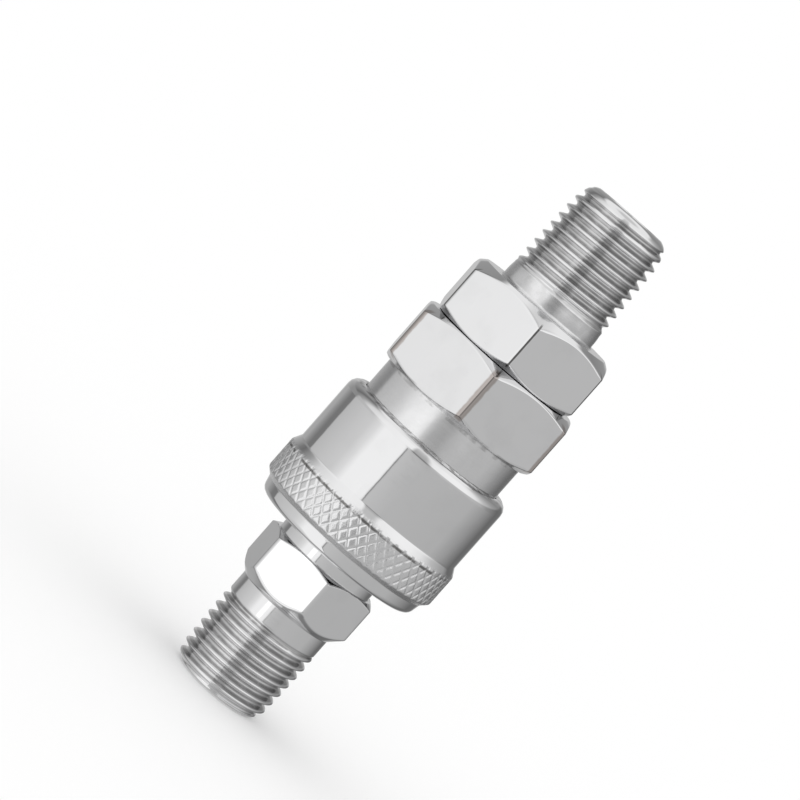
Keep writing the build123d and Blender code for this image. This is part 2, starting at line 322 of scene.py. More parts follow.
def place_camera():
    """The photograph's long lens, with the coupling leaning to the right in the picture."""
    rise = math.radians(CAMERA_RISE)
    lean = math.radians(AXIS_LEAN)
    forward = Vector((0, math.cos(rise), -math.sin(rise)))
    level_right = Vector((1, 0, 0))
    level_up = Vector((0, math.sin(rise), math.cos(rise)))
    right = math.cos(lean) * level_up + math.sin(lean) * level_right
    up = math.sin(lean) * level_up - math.cos(lean) * level_right
    place = Vector((0, 0, AIM_HEIGHT)) - CAMERA_DISTANCE * forward - AXIS_OFFSET * level_right
    matrix = Matrix((right, up, -forward)).transposed().to_4x4()
    matrix.translation = place * MM
    data = bpy.data.cameras.new("photo_camera")
    data.sensor_width = SENSOR
    data.lens = FOCAL_PIXELS * SENSOR / PICTURE
    data.clip_start = CAMERA_NEAR * MM
    camera = bpy.data.objects.new("photo_camera", data)
    camera.matrix_world = Matrix.Rotation(math.radians(CAMERA_TURN), 4, "Z") @ matrix
    bpy.context.scene.collection.objects.link(camera)
    bpy.context.scene.camera = camera


# Nodes; the numbers are the places of a Mix node's colour sockets

MIX_SHARE = 0
MIX_ONE = 6
MIX_OTHER = 7
MIX_RESULT = 2


def feed(tree, value, socket):
    """Links a socket to an input, or sets the input to a number or colour."""
    if isinstance(value, bpy.types.NodeSocket):
        tree.links.new(value, socket)
    else:
        socket.default_value = value


def math_node(tree, operation, *values):
    node = tree.nodes.new("ShaderNodeMath")
    node.operation = operation
    for number, value in enumerate(values):
        feed(tree, value, node.inputs[number])
    return node.outputs["Value"]


def smooth_step(tree, value, start, end):
    """0 before start and 1 after end, with a smooth rise between them."""
    node = tree.nodes.new("ShaderNodeMapRange")
    node.interpolation_type = "SMOOTHSTEP"
    feed(tree, value, node.inputs["Value"])
    feed(tree, start, node.inputs["From Min"])
    feed(tree, end, node.inputs["From Max"])
    return node.outputs["Result"]


def window(tree, value, start, full, ebb, end):
    """1 between full and ebb, and 0 before start and after end."""
    rises = smooth_step(tree, value, start, full)
    falls = math_node(tree, "SUBTRACT", 1, smooth_step(tree, value, ebb, end))
    return math_node(tree, "MULTIPLY", rises, falls)


def mix_colour(tree, share, one, other):
    node = tree.nodes.new("ShaderNodeMix")
    node.data_type = "RGBA"
    feed(tree, share, node.inputs[MIX_SHARE])
    feed(tree, one, node.inputs[MIX_ONE])
    feed(tree, other, node.inputs[MIX_OTHER])
    return node.outputs[MIX_RESULT]


def noise(tree, place, scale, detail, rough=0.5):
    node = tree.nodes.new("ShaderNodeTexNoise")
    feed(tree, place, node.inputs["Vector"])
    node.inputs["Scale"].default_value = scale
    node.inputs["Detail"].default_value = detail
    node.inputs["Roughness"].default_value = rough
    return node.outputs["Fac"]


def ring_noise(tree, height, scale, detail):
    """Noise that changes along the axis only."""
    node = tree.nodes.new("ShaderNodeTexNoise")
    node.noise_dimensions = "1D"
    feed(tree, height, node.inputs["W"])
    node.inputs["Scale"].default_value = scale
    node.inputs["Detail"].default_value = detail
    return node.outputs["Fac"]


def bump(tree, height, distance, normal=None):
    node = tree.nodes.new("ShaderNodeBump")
    feed(tree, height, node.inputs["Height"])
    feed(tree, distance, node.inputs["Distance"])
    if normal is not None:
        tree.links.new(normal, node.inputs["Normal"])
    return node.outputs["Normal"]


def object_place(tree):
    """Place on the piece, in metres, and its three parts."""
    place = tree.nodes.new("ShaderNodeTexCoord").outputs["Object"]
    split = tree.nodes.new("ShaderNodeSeparateXYZ")
    tree.links.new(place, split.inputs["Vector"])
    return place, split.outputs["X"], split.outputs["Y"], split.outputs["Z"]


def new_group(name, inputs, outputs):
    """Empty node group with number inputs, and its input and output nodes."""
    group = bpy.data.node_groups.new(name, "ShaderNodeTree")
    for label, value in inputs.items():
        socket = group.interface.new_socket(label, in_out="INPUT", socket_type="NodeSocketFloat")
        socket.default_value = value
    for label, kind in outputs.items():
        group.interface.new_socket(label, in_out="OUTPUT", socket_type=kind)
    return group, group.nodes.new("NodeGroupInput"), group.nodes.new("NodeGroupOutput")


def use_group(tree, group, **values):
    node = tree.nodes.new("ShaderNodeGroup")
    node.node_tree = group
    for label, value in values.items():
        feed(tree, value, node.inputs[label])
    return node.outputs


def lathe_group():
    """Fine rings left by the lathe, with faint smudges over them."""
    group, given, result = new_group(
        "lathe_marks",
        {"Depth": 1, "Smudges": 1},
        {"Normal": "NodeSocketVector", "Roughness": "NodeSocketFloat", "Shade": "NodeSocketFloat"},
    )
    place, _, _, height = object_place(group)
    wide = ring_noise(group, height, scale=1500, detail=2)
    fine = ring_noise(group, height, scale=5200, detail=2)
    rings = math_node(group, "MULTIPLY_ADD", fine, FINE_RING_SHARE, wide)
    blotches = noise(group, place, scale=260, detail=3)
    specks = noise(group, place, scale=2600, detail=2)
    depth, smudges = given.outputs["Depth"], given.outputs["Smudges"]
    normal = bump(group, rings, math_node(group, "MULTIPLY", depth, RING_HEIGHT))
    normal = bump(group, blotches, math_node(group, "MULTIPLY", smudges, SMUDGE_HEIGHT), normal)
    smudge = math_node(group, "MULTIPLY", smooth_step(group, blotches, *SMUDGE_EDGE), smudges)
    rough = math_node(group, "MULTIPLY", smudge, SMUDGE_ROUGHNESS)
    cuts = math_node(group, "MULTIPLY", fine, depth)
    rough = math_node(group, "MULTIPLY_ADD", cuts, RING_ROUGHNESS, rough)
    dust = math_node(group, "MULTIPLY", smooth_step(group, specks, *DUST_EDGE), smudge)
    shade = math_node(group, "MULTIPLY_ADD", dust, -DUST_SHADE, 1)
    shade = math_node(group, "MULTIPLY_ADD", smudge, -SMUDGE_SHADE, shade)
    group.links.new(normal, result.inputs["Normal"])
    group.links.new(rough, result.inputs["Roughness"])
    group.links.new(shade, result.inputs["Shade"])
    return group


def band_group():
    """1 between two heights on the axis, in millimetres, and 0 beyond them."""
    group, given, result = new_group(
        "height_band", {"Low": 0, "High": 1, "Soft": 0.1}, {"Mask": "NodeSocketFloat"}
    )
    height = math_node(group, "MULTIPLY", object_place(group)[3], 1 / MM)
    low, high, soft = (given.outputs[label] for label in ("Low", "High", "Soft"))
    start = math_node(group, "SUBTRACT", low, soft)
    end = math_node(group, "ADD", high, soft)
    group.links.new(window(group, height, start, low, high, end), result.inputs["Mask"])
    return group


def thread_group():
    """Painted shade in a thread's roots and on each turn's upper flank; Phase is where along the
    axis its turns start."""
    group, given, result = new_group(
        "thread_painted_shade", {"Phase": 0}, {"Roots": "NodeSocketFloat", "Flank": "NodeSocketFloat"}
    )
    place, x, y, height = object_place(group)
    along = math_node(group, "MULTIPLY_ADD", height, 1 / MM, given.outputs["Phase"])
    turns = math_node(group, "MULTIPLY", math_node(group, "ARCTAN2", y, x), 1 / (2 * math.pi))
    turn = math_node(group, "SUBTRACT", math_node(group, "MULTIPLY", along, 1 / THREAD_PITCH), turns)
    within = math_node(group, "FRACT", turn)
    blotches = noise(group, place, scale=900, detail=3)
    depth = math_node(group, "ABSOLUTE", math_node(group, "MULTIPLY_ADD", within, 2, -1))
    uneven = math_node(group, "MULTIPLY_ADD", blotches, ROOT_UNEVENNESS, depth)
    group.links.new(smooth_step(group, uneven, *ROOT_EDGE), result.inputs["Roots"])
    flank = window(group, within, *FLANK_START, *FLANK_END)
    flank = math_node(group, "MULTIPLY", flank, smooth_step(group, blotches, *FLANK_BLOTCHES))
    group.links.new(flank, result.inputs["Flank"])
    return group


def corner_group():
    """A strip along a hexagon's corners for tarnish, and for painted shade where its colour is the
    shade colour; Turn is the hexagon's turn and Width the half width of the strip, both in degrees."""
    group, given, result = new_group(
        "corner_tarnish_and_shade", {"Turn": 0, "Width": 1}, {"Mask": "NodeSocketFloat"}
    )
    place, x, y, _ = object_place(group)
    degrees = math_node(group, "MULTIPLY", math_node(group, "ARCTAN2", y, x), 180 / math.pi)
    turned = math_node(group, "SUBTRACT", degrees, given.outputs["Turn"])
    folded = math_node(group, "FLOORED_MODULO", turned, HEX_SECTOR)
    off = math_node(group, "ABSOLUTE", math_node(group, "SUBTRACT", folded, HEX_SECTOR / 2))
    blotches = noise(group, place, scale=1400, detail=3)
    widest = 1 + CORNER_UNEVENNESS / 2
    uneven = math_node(group, "MULTIPLY_ADD", blotches, -CORNER_UNEVENNESS, widest)
    edge = math_node(group, "MULTIPLY", uneven, given.outputs["Width"])
    inner = math_node(group, "MULTIPLY", edge, CORNER_CORE)
    mask = math_node(group, "SUBTRACT", 1, smooth_step(group, off, inner, edge))
    group.links.new(mask, result.inputs["Mask"])
    return group


def shade_patches_group():
    """Uneven patches of painted shade; Amount is how much of it there is at most."""
    group, given, result = new_group("painted_shade_patches", {"Amount": 0}, {"Mask": "NodeSocketFloat"})
    blotches = noise(group, object_place(group)[0], scale=800, detail=3)
    patches = smooth_step(group, blotches, *SHADE_PATCH_EDGE)
    mask = math_node(group, "MULTIPLY", given.outputs["Amount"], patches)
    group.links.new(mask, result.inputs["Mask"])
    return group


LATHE = lathe_group()
BAND = band_group()
THREADS = thread_group()
CORNERS = corner_group()
SHADE_PATCHES = shade_patches_group()


def plain_material(name):
    material = bpy.data.materials.new(name)
    material.use_nodes = True
    return material, material.node_tree, material.node_tree.nodes["Principled BSDF"]


def band_mask(tree, marked, softness):
    """Mask of a zone, thread, hexagon or grip between its low and high ends."""
    return use_group(tree, BAND, Low=marked.low, High=marked.high, Soft=softness)["Mask"]


def chrome_material(name, zones, thread=None, corners=None, grip=None):
    """Chrome plate. A zone has rougher plate, deeper lathe marks and patches of painted shade, a thread
    painted shade in its roots and on its flanks, a hexagon a coloured strip along its corners, which
    is tarnish on one and painted shade on another, and a grip is matt."""
    material, tree, shader = plain_material(name)
    rough, marks, dirt = PLATE_ROUGHNESS, PLATE_MARKS, 0
    for zone in zones:
        band = band_mask(tree, zone, ZONE_SOFTNESS)
        rough = math_node(tree, "MULTIPLY_ADD", band, zone.rough, rough)
        marks = math_node(tree, "MULTIPLY_ADD", band, zone.marks, marks)
        dirt = math_node(tree, "MULTIPLY_ADD", band, zone.dirt, dirt)
    lathe = use_group(tree, LATHE, Depth=marks)
    rough = math_node(tree, "ADD", lathe["Roughness"], rough)
    normal = lathe["Normal"]
    colour = mix_colour(tree, lathe["Shade"], (0, 0, 0, 1), (*CHROME_COLOUR, 1))
    # Painted shade in patches over the zones that ask for it
    if any(zone.dirt for zone in zones):
        colour = mix_colour(tree, use_group(tree, SHADE_PATCHES, Amount=dirt)["Mask"], colour, (*PAINTED_SHADE_COLOUR, 1))
    if thread is not None:
        # Painted shade in the thread's roots and on its upper flanks
        cut = band_mask(tree, thread, THREAD_SOFTNESS)
        turns = use_group(tree, THREADS, Phase=thread.phase)
        shaded = math_node(tree, "MULTIPLY", turns["Flank"], FLANK_SHADE)
        thread_shade = math_node(tree, "MULTIPLY_ADD", turns["Roots"], thread.dirt, shaded)
        colour = mix_colour(tree, math_node(tree, "MULTIPLY", thread_shade, cut), colour, (*PAINTED_SHADE_COLOUR, 1))
        rough = math_node(tree, "MULTIPLY_ADD", cut, THREAD_ROUGHNESS, rough)
    if corners is not None:
        # A strip along the hexagon's corners: tarnish, and painted shade where its colour is the shade
        # colour
        bar = band_mask(tree, corners, CORNER_SOFTNESS)
        tarnish_and_shade = use_group(tree, CORNERS, Turn=corners.turn, Width=corners.width)["Mask"]
        tarnish_and_shade = math_node(tree, "MULTIPLY", math_node(tree, "MULTIPLY", tarnish_and_shade, bar), CORNER_TARNISH_AND_SHADE)
        colour = mix_colour(tree, tarnish_and_shade, colour, (*corners.colour, 1))
    if grip is not None:
        held = band_mask(tree, grip, GRIP_SOFTNESS)
        grain = noise(tree, object_place(tree)[0], scale=5200, detail=3, rough=0.7)
        rough = math_node(tree, "MULTIPLY_ADD", held, GRIP_ROUGHNESS, rough)
        normal = bump(tree, grain, math_node(tree, "MULTIPLY", held, GRIP_GRAIN_HEIGHT), normal)
    shader.inputs["Metallic"].default_value = 1
    feed(tree, colour, shader.inputs["Base Color"])
    feed(tree, rough, shader.inputs["Roughness"])
    feed(tree, normal, shader.inputs["Normal"])
    return material


def metal_material(name, colour, rough, marks, smudges):
    """Bare metal with the lathe's or the drawing die's marks."""
    material, tree, shader = plain_material(name)
    lathe = use_group(tree, LATHE, Depth=marks, Smudges=smudges)
    shader.inputs["Metallic"].default_value = 1
    shaded = mix_colour(tree, lathe["Shade"], (0, 0, 0, 1), (*colour, 1))
    feed(tree, shaded, shader.inputs["Base Color"])
    feed(tree, math_node(tree, "ADD", lathe["Roughness"], rough), shader.inputs["Roughness"])
    feed(tree, lathe["Normal"], shader.inputs["Normal"])
    return material


def rubber_material():
    """Black nitrile rubber, matt, with a fine moulded grain."""
    material, tree, shader = plain_material("seal_rubber")
    grain = noise(tree, object_place(tree)[0], scale=3000, detail=3, rough=0.6)
    shader.inputs["Base Color"].default_value = (*RUBBER_COLOUR, 1)
    rough = math_node(tree, "MULTIPLY_ADD", grain, RUBBER_UNEVENNESS, RUBBER_ROUGHNESS)
    feed(tree, rough, shader.inputs["Roughness"])
    feed(tree, bump(tree, grain, RUBBER_GRAIN_HEIGHT), shader.inputs["Normal"])
    return material


# Studio: the light tent as the chrome shows it. Each stop gives degrees round from the camera,
# towards the picture's right, and the level out of 255.

LOWER_RIG = [
    (-180, 180),
    (-168, 180),
    (-161, 160),
    (-147, 160),
    (-126, 115),
    (-117, 115),
    (-115, 180),
    (-70, 200),
    (-59, 215),
    (-50, 237),
    (-17, 237),
    (-16, 120),
    (-15, 120),
    (-14, 188),
    (14, 177),
    (90, 171),
    (112, 150),
    (142, 100),
    (161, 105),
    (169, 170),
    (180, 180),
]
UPPER_RIG = [
    (-180, 180),
    (-168, 180),
    (-161, 165),
    (-140, 140),
    (-117, 135),
    (-112, 175),
    (-75, 190),
    (-58, 225),
    (-49, 235),
    (-20, 235),
    (-12, 187),
    (14, 175),
    (34, 190),
    (52, 180),
    (85, 180),
    (101, 170),
    (114, 140),
    (142, 100),
    (161, 105),
    (169, 170),
    (180, 180),
]
CANOPY = [
    (-180, 150),
    (-150, 140),
    (-128, 105),
    (-108, 155),
    (-91, 210),
    (-59, 233),
    (-26, 237),
    (26, 235),
    (59, 238),
    (75, 236),
    (91, 225),
    (108, 185),
    (128, 155),
    (150, 130),
    (180, 150),
]
UPPER_FOOT = (-5.4, -5.1)
CANOPY_FOOT = (10, 17)
OVERHEAD_FOOT = (47, 56)
ZENITH_FOOT = (68, 80)
UNDER_EDGE = (-80, -70)
OVERHEAD_LEVEL = 228
ZENITH_LEVEL = 195
UNDER_LEVEL = 150
# A dark flag in front of the object, between two directions; share of the dark by height in
# degrees
FLAG_LEVEL = 57
FLAG_LEFT = (-13, -7)
FLAG_RIGHT = (8, 21)
FLAG_RISE = [
    (-90, 0),
    (-28, 0),
    (-20, 0.54),
    (-13, 0.54),
    (-10.5, 0),
    (-5.5, 0),
    (-4.9, 0.33),
    (-2.6, 0.50),
    (3, 0.62),
    (35, 0.52),
    (51, 0.42),
    (78, 0),
]
# A small bright card low on the left, that only the plug's hexagon catches
CARD_LEVEL = 272
CARD_SIDE = (-37, -35, -27, -25)
CARD_RISE = (-11.2, -10.6, -7.6, -7.4)
DOME_RADIUS = 2.0
DOME_HEIGHT = 36
DOME_SEGMENTS = 96
DOME_RINGS = 48
FLOOR_SIZE = 6


def light_of(level):
    """Linear light that a chrome surface shows as this level of 255 in the picture, by the
    standard curve of a screen."""
    share = level / 255
    linear = share / 12.92 if share < 0.04 else ((share + 0.055) / 1.055) ** 2.4
    return linear / CHROME_COLOUR[0]


def level_ramp(tree, share, stops):
    """Ramp round the studio, with share from 0 to 1 for -180 to 180 degrees."""
    node = tree.nodes.new("ShaderNodeValToRGB")
    feed(tree, share, node.inputs["Fac"])
    elements = node.color_ramp.elements
    while len(elements) < len(stops):
        elements.new(0.5)
    for element, (degrees, level) in zip(elements, stops):
        light = light_of(level)
        element.position = degrees / 360 + 0.5
        element.color = (light, light, light, 1)
    return node.outputs["Color"]


def share_ramp(tree, degrees, stops):
    """Share from 0 to 1 by height in degrees."""
    node = tree.nodes.new("ShaderNodeValToRGB")
    feed(tree, math_node(tree, "MULTIPLY_ADD", degrees, 1 / 180, 0.5), node.inputs["Fac"])
    elements = node.color_ramp.elements
    while len(elements) < len(stops):
        elements.new(0.5)
    for element, (height, share) in zip(elements, stops):
        element.position = height / 180 + 0.5
        element.color = (share, share, share, 1)
    return node.outputs["Color"]


def dome_material():
    """The two rigs, the canopy over them, the flag and the card, by direction from the object."""
    material = bpy.data.materials.new("light_tent")
    material.use_nodes = True
    material.cycles.emission_sampling = "NONE"
    tree = material.node_tree
    tree.nodes.clear()
    output = tree.nodes.new("ShaderNodeOutputMaterial")
    emission = tree.nodes.new("ShaderNodeEmission")
    tree.links.new(emission.outputs["Emission"], output.inputs["Surface"])
    place = tree.nodes.new("ShaderNodeTexCoord").outputs["Object"]
    aim = tree.nodes.new("ShaderNodeVectorMath")
    aim.operation = "NORMALIZE"
    tree.links.new(place, aim.inputs[0])
    split = tree.nodes.new("ShaderNodeSeparateXYZ")
    tree.links.new(aim.outputs["Vector"], split.inputs["Vector"])
    ahead = math_node(tree, "MULTIPLY", split.outputs["Y"], -1)
    azimuth = math_node(tree, "ARCTAN2", split.outputs["X"], ahead)
    share = math_node(tree, "MULTIPLY_ADD", azimuth, 1 / (2 * math.pi), 0.5)
    rise = math_node(tree, "MULTIPLY", math_node(tree, "ARCSINE", split.outputs["Z"]), 180 / math.pi)
    side = math_node(tree, "MULTIPLY", azimuth, 180 / math.pi)
    overhead, zenith, under, flag, card = (
        (light_of(shown),) * 3 + (1,)
        for shown in (OVERHEAD_LEVEL, ZENITH_LEVEL, UNDER_LEVEL, FLAG_LEVEL, CARD_LEVEL)
    )
    level = level_ramp(tree, share, LOWER_RIG)
    upper = level_ramp(tree, share, UPPER_RIG)
    canopy = level_ramp(tree, share, CANOPY)
    level = mix_colour(tree, smooth_step(tree, rise, *UPPER_FOOT), level, upper)
    level = mix_colour(tree, smooth_step(tree, rise, *CANOPY_FOOT), level, canopy)
    level = mix_colour(tree, smooth_step(tree, rise, *OVERHEAD_FOOT), level, overhead)
    level = mix_colour(tree, smooth_step(tree, rise, *ZENITH_FOOT), level, zenith)
    level = mix_colour(tree, smooth_step(tree, rise, *UNDER_EDGE), under, level)
    shaded = share_ramp(tree, rise, FLAG_RISE)
    in_front = window(tree, side, *FLAG_LEFT, *FLAG_RIGHT)
    level = mix_colour(tree, math_node(tree, "MULTIPLY", shaded, in_front), level, flag)
    lit = math_node(tree, "MULTIPLY", window(tree, side, *CARD_SIDE), window(tree, rise, *CARD_RISE))
    level = mix_colour(tree, lit, level, card)
    tree.links.new(level, emission.inputs["Color"])
    return material


def studio():
    """White floor and background, and a light tent that only the chrome sees."""
    world = bpy.data.worlds.new("white_studio")
    world.use_nodes = True
    world.node_tree.nodes["Background"].inputs["Color"].default_value = (1, 1, 1, 1)
    bpy.context.scene.world = world

    bpy.ops.mesh.primitive_plane_add(size=FLOOR_SIZE)
    floor = bpy.context.object
    floor.name = "floor"
    floor_material, _, shader = plain_material("white_floor")
    shader.inputs["Base Color"].default_value = (1, 1, 1, 1)
    shader.inputs["Roughness"].default_value = 1
    shader.inputs["Specular IOR Level"].default_value = 0
    floor.data.materials.append(floor_material)
    floor.visible_glossy = False

    bpy.ops.mesh.primitive_uv_sphere_add(
        segments=DOME_SEGMENTS,
        ring_count=DOME_RINGS,
        radius=DOME_RADIUS,
        location=(0, 0, DOME_HEIGHT * MM),
    )
    dome = bpy.context.object
    dome.name = "light_tent"
    dome.rotation_euler.z = math.radians(CAMERA_TURN)
    dome.data.materials.append(dome_material())
    dome.visible_camera = False
    dome.visible_diffuse = False
    dome.visible_transmission = False
    dome.visible_shadow = False
    dome.visible_volume_scatter = False
    bpy.context.scene.view_settings.view_transform = "Standard"


# Forms


def soft_min(one, other, softness):
    """The smaller of two lengths, rounded where they meet."""
    share = np.clip(0.5 + (other - one) / (2 * softness), 0, 1)
    return other * (1 - share) + one * share - softness * share * (1 - share)


def even_angles(steps):
    return np.arange(steps) * (2 * math.pi / steps)


def hex_angles(turn, across):
    """Angles round a hexagon, closer together over its rounded corners."""
    reach = HEX_CORNER_R / across * CORNER_SHARES
    angles = list(even_angles(TURN_STEPS))
    for number in range(HEX_SIDES):
        corner = math.radians(HEX_CORNER_WAY + turn + HEX_SECTOR * number)
        angles += list(corner + reach) + list(corner - reach)
    return np.unique(np.round(np.mod(angles, 2 * math.pi), ANGLE_DIGITS))


def hexagon_r(angles, across, turn):
    """Radius of a hexagon with rounded corners, at each angle."""
    sector = math.radians(HEX_SECTOR)
    past_corner = angles - math.radians(HEX_CORNER_WAY + turn)
    off = np.abs(np.mod(past_corner + sector / 2, sector) - sector / 2)
    flat = across / 2 / np.cos(sector / 2 - off)
    centre = (across / 2 - HEX_CORNER_R) / math.cos(sector / 2)
    aside = np.minimum(centre * np.sin(off), HEX_CORNER_R)
    arc = centre * np.cos(off) + np.sqrt(HEX_CORNER_R**2 - aside**2)
    touch = math.atan2(HEX_CORNER_R / 2, centre + HEX_CORNER_R * math.cos(sector / 2))
    return np.where(off < touch, arc, flat)


def rows(points):
    """Plain turned rows at the given (radius, height) points."""
    return [(radius, height, None) for radius, height in points]


def softened(points, radius, most):
    """An open path of (radius, height) corners, with each inner corner turned to an arc that takes
    at most a share of the straight parts beside it."""
    path = [np.array(points[0], float)]
    for before, corner, after in zip(points, points[1:], points[2:]):
        before, corner, after = (np.array(p, float) for p in (before, corner, after))
        to_before = before - corner
        to_after = after - corner
        long_before, long_after = np.linalg.norm(to_before), np.linalg.norm(to_after)
        to_before, to_after = to_before / long_before, to_after / long_after
        reach = min(radius, most * long_before, most * long_after)
        start = corner + to_before * reach
        end = corner + to_after * reach
        weight = math.sqrt(max(0, (1 - to_before @ to_after) / 2))
        lead = min(SUPPORT, SUPPORT_SHARE * reach + SUPPORT_LEAST)
        path.append(start + to_before * lead)
        for step in range(ARC_STEPS + 1):
            t = step / ARC_STEPS
            # With this weight on the corner the curve is part of a circle
            shares = np.array([(1 - t) ** 2, 2 * t * (1 - t) * weight, t * t])
            path.append((shares[0] * start + shares[1] * corner + shares[2] * end) / shares.sum())
        path.append(end + to_after * lead)
    path.append(np.array(points[-1], float))
    return path


def edged_rows(points, radius=FINE_EDGE, most=EDGE_SHARE):
    """Plain turned rows along a path of (radius, height) corners, with its edges broken."""
    return rows(softened(points, radius, most))


def hex_rows(low, high, across, turn, low_start, low_angle, high_start, high_angle):
    """Rows up a hexagon whose corners are turned off at both faces."""
    corner_r = (across - 2 * HEX_CORNER_R) / math.sqrt(3) + HEX_CORNER_R
    low_slope = math.tan(math.radians(low_angle))
    high_slope = math.tan(math.radians(high_angle))
    low_top = low + (corner_r - low_start) * low_slope
    high_low = high - (corner_r - high_start) * high_slope

    def shape(angles, height):
        low_cone = low_start + (height - low) / low_slope
        high_cone = high_start + (high - height) / high_slope
        bar = hexagon_r(angles, across, turn)
        turned = soft_min(bar, np.full_like(angles, low_cone), HEX_EDGE)
        return soft_min(turned, np.full_like(angles, high_cone), HEX_EDGE)

    heights = np.concatenate(
        [
            np.linspace(low, low_top + HEX_MARGIN, CHAMFER_ROWS),
            np.linspace(low_top + 2 * HEX_MARGIN, high_low - 2 * HEX_MARGIN, FLAT_ROWS),
            np.linspace(high_low - HEX_MARGIN, high, CHAMFER_ROWS),
        ]
    )
    return [(0, height, shape) for height in heights]


def thread_rows(foot, end, phase, runout, crest_r, neck_r, lead_r):
    """Rows along a right-hand taper thread, from its small end at height foot, up or down. The
    small end is rounded off from lead_r, the crests reach crest_r and the turns run out to the
    neck."""
    length = abs(end - foot)
    steps = int(length / THREAD_PITCH * THREAD_ROWS_PER_TURN)

    def shape(angles, height):
        along = abs(height - foot)
        blank = min(THREAD_END_R + THREAD_TAPER * along, crest_r)
        turn = np.mod((height + phase) / THREAD_PITCH - angles / (2 * math.pi), 1)
        depth = THREAD_SHARP * np.abs(2 * turn - 1) - THREAD_CREST
        depth = -soft_min(-depth, np.zeros_like(depth), CREST_SOFTNESS)
        depth = soft_min(depth, np.full_like(depth, THREAD_DEPTH), ROOT_SOFTNESS)
        fade = np.clip((length - along - runout[1]) / (runout[0] - runout[1]), 0, 1)
        cut = neck_r + (blank - depth - neck_r) * fade
        rounding = THREAD_LEAD_ROUND * (1 - math.exp(-along / THREAD_LEAD_LENGTH))
        lead = lead_r + rounding + THREAD_LEAD_SLOPE * along
        return soft_min(cut, np.full_like(angles, lead), THREAD_END_SOFTNESS)

    return [(0, height, shape) for height in np.linspace(foot, end, steps)]


def knurl_rows():
    """Rows up the diamond knurl, with its shoulders; each row shifts a groove by one column."""
    step = KNURL_DIAMOND / KNURL_STEPS
    pitch = 2 * math.pi * KNURL_R / KNURL_TEETH
    lean = math.cos(math.atan(pitch / KNURL_DIAMOND))

    def shape(angles, height):
        teeth = angles * KNURL_TEETH / (2 * math.pi)
        along = (height - KNURL_LOW) / KNURL_DIAMOND
        grooves = [np.mod(teeth + way * along + 0.5, 1) - 0.5 for way in (-1, 1)]
        off = np.minimum(np.abs(grooves[0]), np.abs(grooves[1])) * pitch * lean / KNURL_GROOVE
        share = np.clip(off, 0, 1)
        cut = KNURL_R - KNURL_DEPTH * (1 - share * share * (1 + KNURL_CURVE - KNURL_CURVE * share))
        up = (KNURL_SHOULDER_TOP - height) / (KNURL_SHOULDER_TOP - KNURL_HIGH)
        high = SLEEVE_R + (KNURL_R - SLEEVE_R) * up
        low = LIP_TOP_R + height - LIP_TOP
        turned = soft_min(cut, np.full_like(angles, low), KNURL_FOOT_SOFTNESS)
        return soft_min(turned, np.full_like(angles, high), KNURL_TOP_SOFTNESS)

    count = round((KNURL_SHOULDER_TOP - LIP_TOP) / step)
    return [(0, LIP_TOP + step * number, shape) for number in range(count)]


def mesh_piece(name, points, faces):
    """Smooth-shaded mesh object of four-sided faces, in metres from points in millimetres."""
    mesh = bpy.data.meshes.new(name)
    mesh.vertices.add(len(points))
    mesh.vertices.foreach_set("co", (points * MM).ravel())
    mesh.loops.add(faces.size)
    mesh.loops.foreach_set("vertex_index", faces.ravel())
    mesh.polygons.add(len(faces))
    mesh.polygons.foreach_set("loop_start", np.arange(len(faces)) * 4)
    mesh.polygons.foreach_set("use_smooth", np.ones(len(faces), bool))
    mesh.update(calc_edges=True)
    mesh.validate()
    piece = bpy.data.objects.new(name, mesh)
    bpy.context.scene.collection.objects.link(piece)
    return piece


def grid_faces(count, across, ring_closed):
    """Faces between rows of points that run all the way round; the rows may close on themselves."""
    row = np.arange(count if ring_closed else count - 1)[:, None] * across
    next_row = (row // across + 1) % count * across
    column = np.arange(across)[None, :]
    next_column = (column + 1) % across
    corners = [row + column, row + next_column, next_row + next_column, next_row + column]
    return np.stack(corners, axis=-1).reshape(-1, 4)


def turned_piece(name, outline, angles):
    """Closed mesh of rows round the axis; a row's shape function gives its radius by angle."""
    cosines, sines = np.cos(angles), np.sin(angles)
    points = []
    for radius, height, shape in outline:
        around = np.full_like(angles, radius) if shape is None else shape(angles, height)
        level = np.full_like(angles, height)
        points.append(np.stack([around * cosines, around * sines, level], axis=1))
    return mesh_piece(name, np.concatenate(points), grid_faces(len(outline), len(angles), True))


def wire_piece(name, centre_r, wire_r, low, rise, degrees, steps):
    """Round wire bent round the axis: a closed ring, a ring with a gap, or a coil that rises."""
    closed = degrees == FULL_TURN
    share = np.arange(steps) / (steps if closed else steps - 1)
    around = np.radians(degrees) * share
    ends = np.ones(steps)
    if not closed:
        to_end = np.minimum(share, 1 - share)
        ends = np.sqrt(1 - np.maximum(0, 1 - to_end * WIRE_END_TAPER) ** 4)
    section = even_angles(WIRE_SIDES)
    radius = centre_r + wire_r * ends[:, None] * np.cos(section)[None, :]
    height = low + rise * share[:, None] + wire_r * ends[:, None] * np.sin(section)[None, :]
    x, y = radius * np.cos(around)[:, None], radius * np.sin(around)[:, None]
    points = np.stack([x, y, height], axis=-1).reshape(-1, 3)
    faces = grid_faces(steps, WIRE_SIDES, closed)[:, ::-1]
    if not closed:
        for first, way in ((0, 1), ((steps - 1) * WIRE_SIDES, -1)):
            cap = [first + number for number in range(WIRE_SIDES)]
            across = [
                [cap[number], cap[number + 1], cap[-number - 2], cap[-number - 1]][::way]
                for number in range(WIRE_SIDES // 2 - 1)
            ]
            faces = np.concatenate([faces, np.array(across)])
    return mesh_piece(name, points, faces)


def fit(piece, body, node, material):
    """Puts a piece on its body in place of its CAD node."""
    piece.data.materials.clear()
    piece.data.materials.append(material)
    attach(piece, body)
    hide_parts(node)


